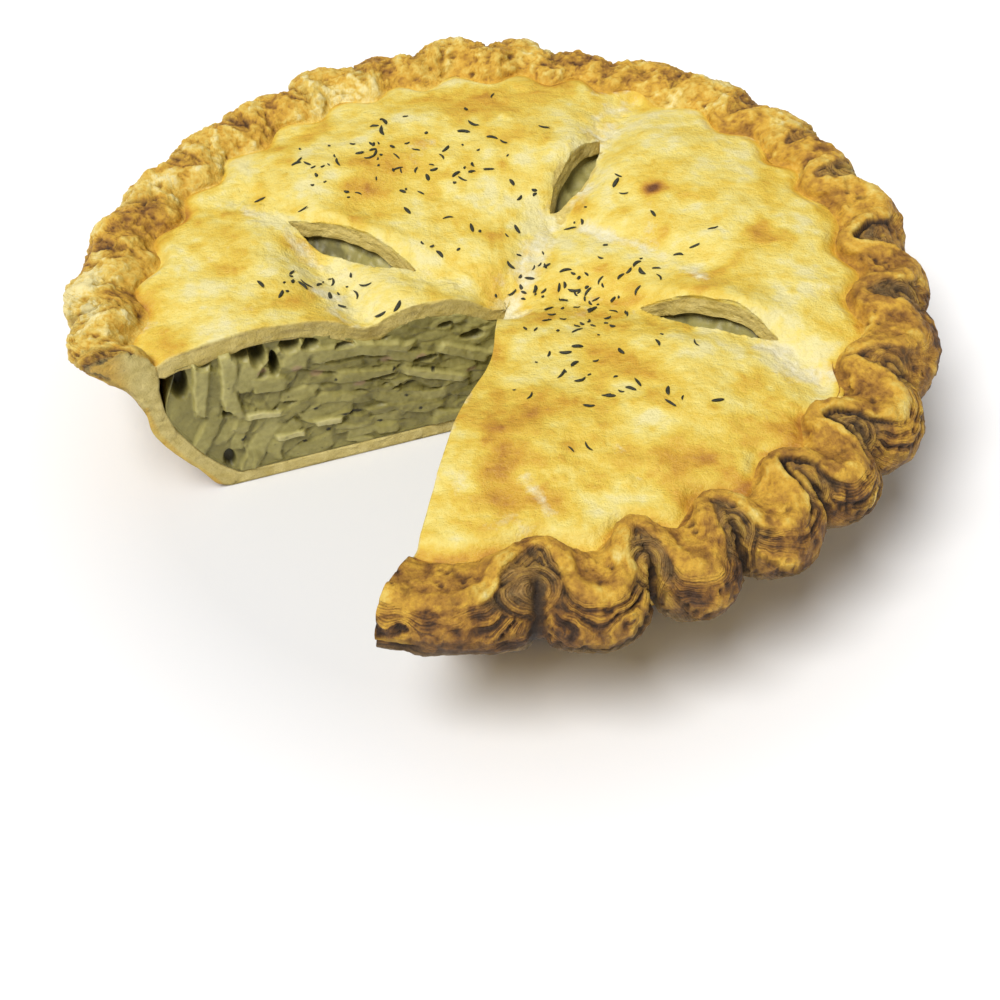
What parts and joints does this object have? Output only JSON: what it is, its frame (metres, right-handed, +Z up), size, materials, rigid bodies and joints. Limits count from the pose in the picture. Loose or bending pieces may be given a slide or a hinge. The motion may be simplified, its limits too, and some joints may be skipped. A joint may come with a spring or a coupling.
{
  "type": "savoury pie with a slice taken out",
  "caption": "Round deep-filled savoury pie with a golden glazed lid, a roped crust, steam slits and thyme leaves; a wedge is missing and shows the potato and shallot filling.",
  "frame": {"origin": "on the pie's axis, at the middle of the flat underside that it stands on", "axes": "+Z up along the pie's axis, +X to the right and +Y away from the side where the slice is missing; the missing slice lies between -X and -Y"},
  "size_m": [0.2583, 0.261, 0.0624],
  "materials": {
    "crust": "matte golden brown baked pastry",
    "filling": "moist pale potato and shallot slices",
    "lid": "egg-glazed yellow pastry with pale creases"
  },
  "bodies": {
    "root": {"pastry_case": "crust", "filling": "filling", "pastry_lid": "lid"}
  },
  "joints": []
}
